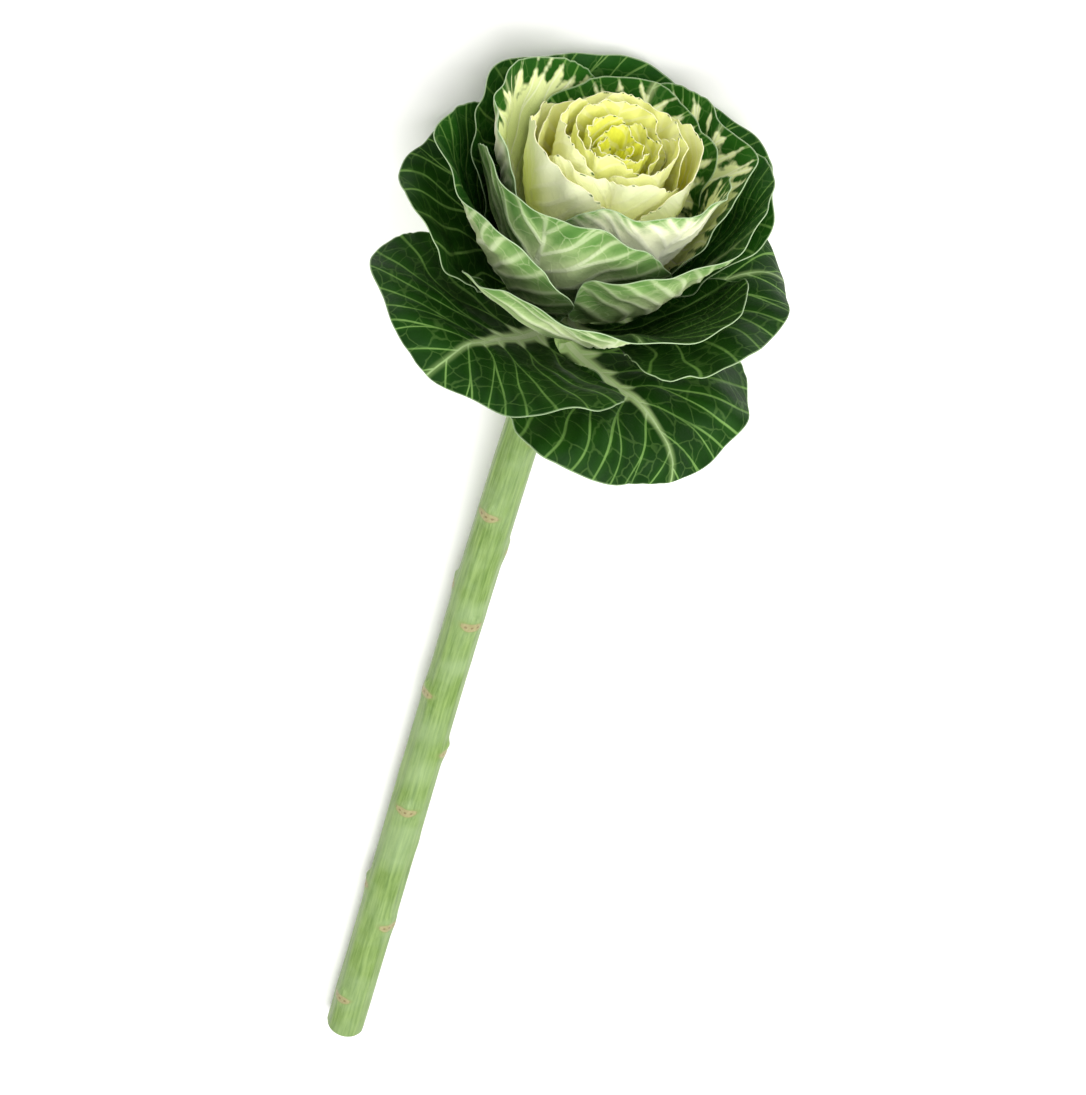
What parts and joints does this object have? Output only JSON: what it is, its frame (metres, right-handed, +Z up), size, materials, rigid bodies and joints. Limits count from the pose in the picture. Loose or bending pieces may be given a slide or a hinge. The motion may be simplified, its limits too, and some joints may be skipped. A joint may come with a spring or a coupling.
{
  "type": "ornamental kale stem",
  "caption": "Cut ornamental kale lying down: a thick stem with dark green outer leaves, green-edged inner leaves and a cream rose-like heart.",
  "frame": {"origin": "on the table, under the middle of the box round the whole plant", "axes": "+Z up from the table, +Y along the stem from the head to the cut end, +X to the right of someone who looks at the head's face"},
  "size_m": [0.1488, 0.4908, 0.1127],
  "materials": {
    "stem": "satin",
    "outer_leaf": "satin",
    "cup_leaf": "satin",
    "edged_leaf": "satin",
    "heart_leaf": "satin"
  },
  "bodies": {
    "root": {"stem": "stem", "outer_leaf_01": "outer_leaf", "outer_leaf_02": "outer_leaf", "outer_leaf_03": "outer_leaf", "outer_leaf_04": "outer_leaf", "outer_leaf_05": "outer_leaf", "outer_leaf_06": "outer_leaf", "cup_leaf_07": "cup_leaf", "cup_leaf_08": "cup_leaf", "cup_leaf_09": "cup_leaf", "cup_leaf_10": "cup_leaf", "cup_leaf_11": "cup_leaf", "edged_leaf_12": "edged_leaf", "edged_leaf_13": "edged_leaf", "edged_leaf_14": "edged_leaf", "edged_leaf_15": "edged_leaf", "heart": "heart_leaf"}
  },
  "joints": []
}
